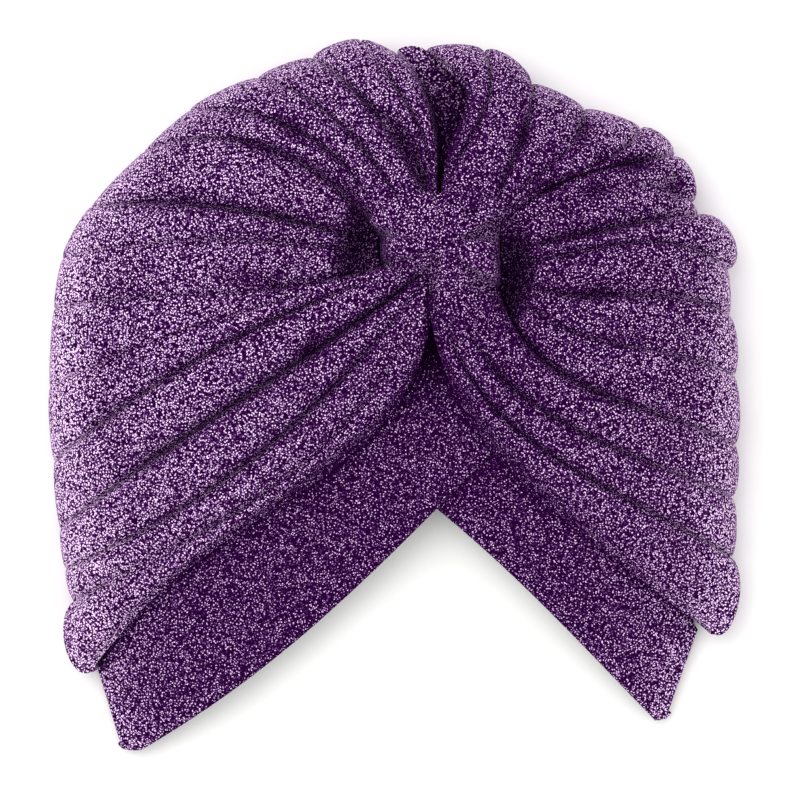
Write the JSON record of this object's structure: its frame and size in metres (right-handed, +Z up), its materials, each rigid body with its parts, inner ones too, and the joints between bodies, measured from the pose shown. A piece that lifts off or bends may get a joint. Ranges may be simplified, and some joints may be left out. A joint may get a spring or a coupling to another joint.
{
  "type": "turban cap",
  "caption": "Soft stretch cap with a fan of gathered folds, a wound centre knot and a lapped headband, lying flat on its back.",
  "frame": {"origin": "on the floor, under the middle of the cap as it lies on its back", "axes": "+Z up from the floor and out through the knot, +Y towards the crown, so the face opening is at -Y, +X to the viewer's right"},
  "size_m": [0.259, 0.267, 0.0585],
  "materials": {
    "crown_knit": "dark purple knit full of lilac and silver glitter flecks",
    "headband_knit": "the same glitter knit, smooth and flat",
    "back_knit": "the same glitter knit, smooth and flat"
  },
  "bodies": {
    "root": {"left_panel": "crown_knit", "right_panel": "crown_knit", "knot": "crown_knit", "headband": "headband_knit", "back_panel": "back_knit"}
  },
  "joints": []
}
